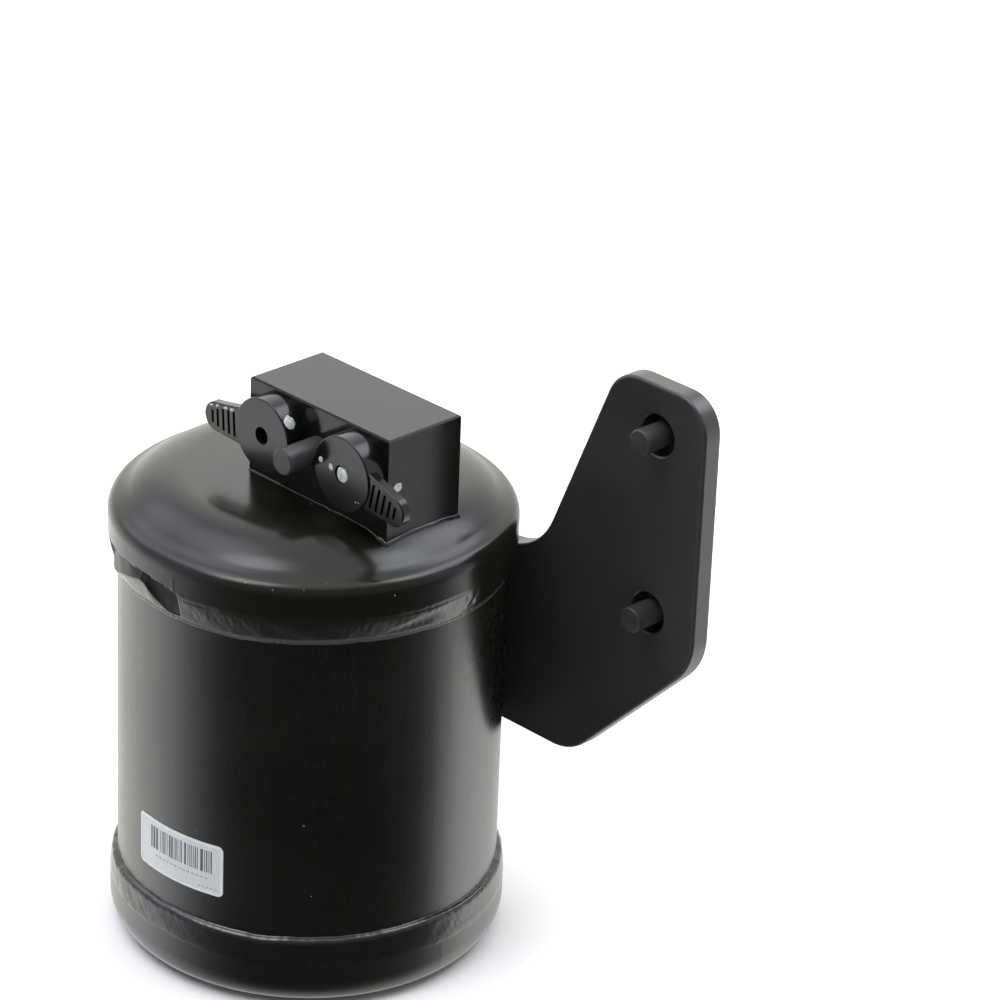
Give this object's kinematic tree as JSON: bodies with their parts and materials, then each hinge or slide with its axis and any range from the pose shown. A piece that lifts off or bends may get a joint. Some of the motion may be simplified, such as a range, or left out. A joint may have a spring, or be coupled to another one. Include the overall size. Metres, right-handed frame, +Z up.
{
  "type": "receiver drier",
  "caption": "Welded steel receiver drier can with a ported block on its lid, capped ports and a bent side bracket with threaded nuts.",
  "frame": {"origin": "on the can's axis, at the flat face it stands on", "axes": "+Z up along the can, ports face -Y, bracket plate on the +Y side running to +X"},
  "size_m": [0.1418, 0.1228, 0.1641],
  "materials": {
    "black_paint": "satin",
    "black_plastic": "matte",
    "label_paper": "matte",
    "bare_steel": "satin",
    "felt": "matte",
    "beads": "matte"
  },
  "bodies": {
    "root": {"tank_tube": "black_paint", "top_cap": "black_paint", "bottom_cap": "black_paint", "top_seam_weld": "black_paint", "bottom_seam_weld": "black_paint", "port_block": "black_paint", "port_block_weld": "black_paint", "mounting_bracket": "black_paint", "bracket_corner_weld": "black_paint", "bracket_edge_welds": "black_paint", "bracket_weld_nuts": "black_paint", "bracket_thread_plugs": "black_plastic", "block_thread_plug": "black_plastic", "outlet_port_cap": "black_plastic", "inlet_port_cap": "black_plastic", "tube_label": "label_paper", "pickup_tube": "bare_steel", "pickup_strainer": "bare_steel", "bed_support_ring": "bare_steel", "lower_retainer_plate": "bare_steel", "lower_filter_pad": "felt", "desiccant_bed": "beads", "upper_filter_pad": "felt", "upper_retainer_plate": "bare_steel", "hold_down_spring": "bare_steel"}
  },
  "joints": []
}
